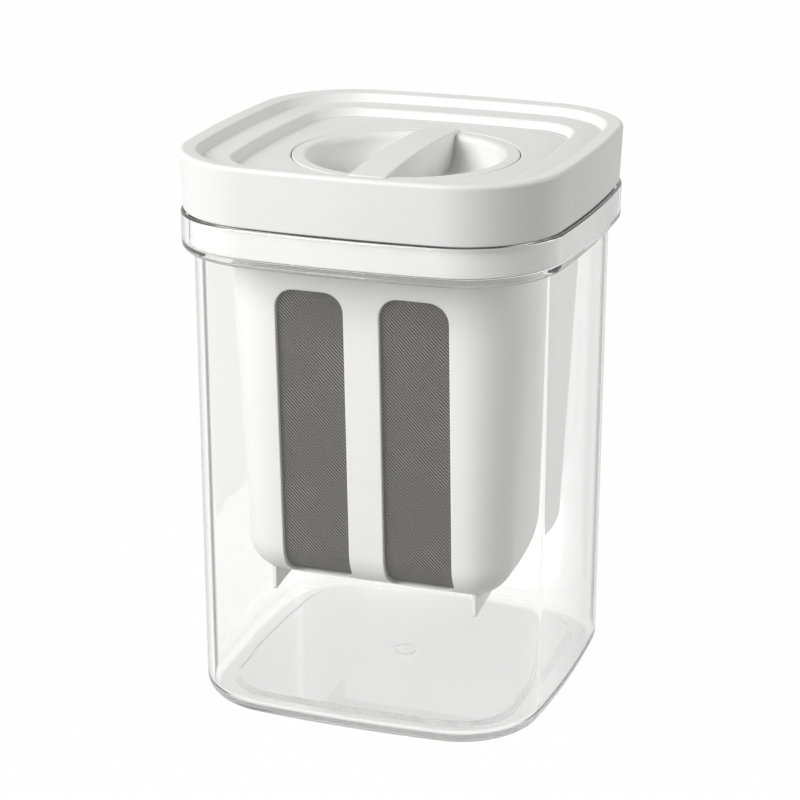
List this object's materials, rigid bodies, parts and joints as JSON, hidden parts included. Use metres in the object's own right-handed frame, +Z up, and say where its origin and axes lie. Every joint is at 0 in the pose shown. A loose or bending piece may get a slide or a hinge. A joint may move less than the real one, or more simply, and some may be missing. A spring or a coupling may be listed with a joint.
{
  "type": "yogurt strainer",
  "caption": "Clear rounded-square container with a hanging mesh basket and a white lid whose turning knob latches a sprung press plate.",
  "frame": {"origin": "centre of the container's footprint, on the table it stands on", "axes": "+Z up, +X to the right seen from the front, +Y away from the front"},
  "size_m": [0.108, 0.108, 0.1564],
  "materials": {
    "clear_plastic": "clear gloss",
    "white_frame": "satin",
    "steel_mesh": "fine twill weave",
    "white_lid": "fine matte",
    "white_knob": "fine matte",
    "grey_acetal": "smooth",
    "white_plate": "satin",
    "spring_steel": "drawn wire"
  },
  "bodies": {
    "container": {"container": "clear_plastic"},
    "basket": {"basket_frame": "white_frame", "mesh_front_l": "steel_mesh", "mesh_front_r": "steel_mesh", "mesh_back_l": "steel_mesh", "mesh_back_r": "steel_mesh", "mesh_floor_l": "steel_mesh", "mesh_floor_r": "steel_mesh"},
    "lid": {"lid": "white_lid", "press_spring": "spring_steel"},
    "knob": {"knob": "white_knob", "cam_barrel": "grey_acetal", "barrel_cap": "grey_acetal"},
    "press": {"plunger": "grey_acetal", "press_plate": "white_plate"}
  },
  "joints": [
    {"name": "basket_lift", "type": "slide", "parent": "container", "child": "basket", "axis": [0, 0, 1], "range_m": [0, 0.14]},
    {"name": "lid_lift", "type": "slide", "parent": "basket", "child": "lid", "axis": [0, 0, 1], "range_m": [0, 0.09]},
    {"name": "knob_turn", "type": "hinge", "parent": "lid", "child": "knob", "pos_m": [0, 0, 0.142], "axis": [0, 0, 1], "range_deg": [0, 90]},
    {"name": "press_slide", "type": "slide", "parent": "lid", "child": "press", "axis": [0, 0, 1], "range_m": [0, 0.024], "stiffness_N_per_m": 300, "springref_m": -0.02, "deforming": ["press_spring"]}
  ]
}
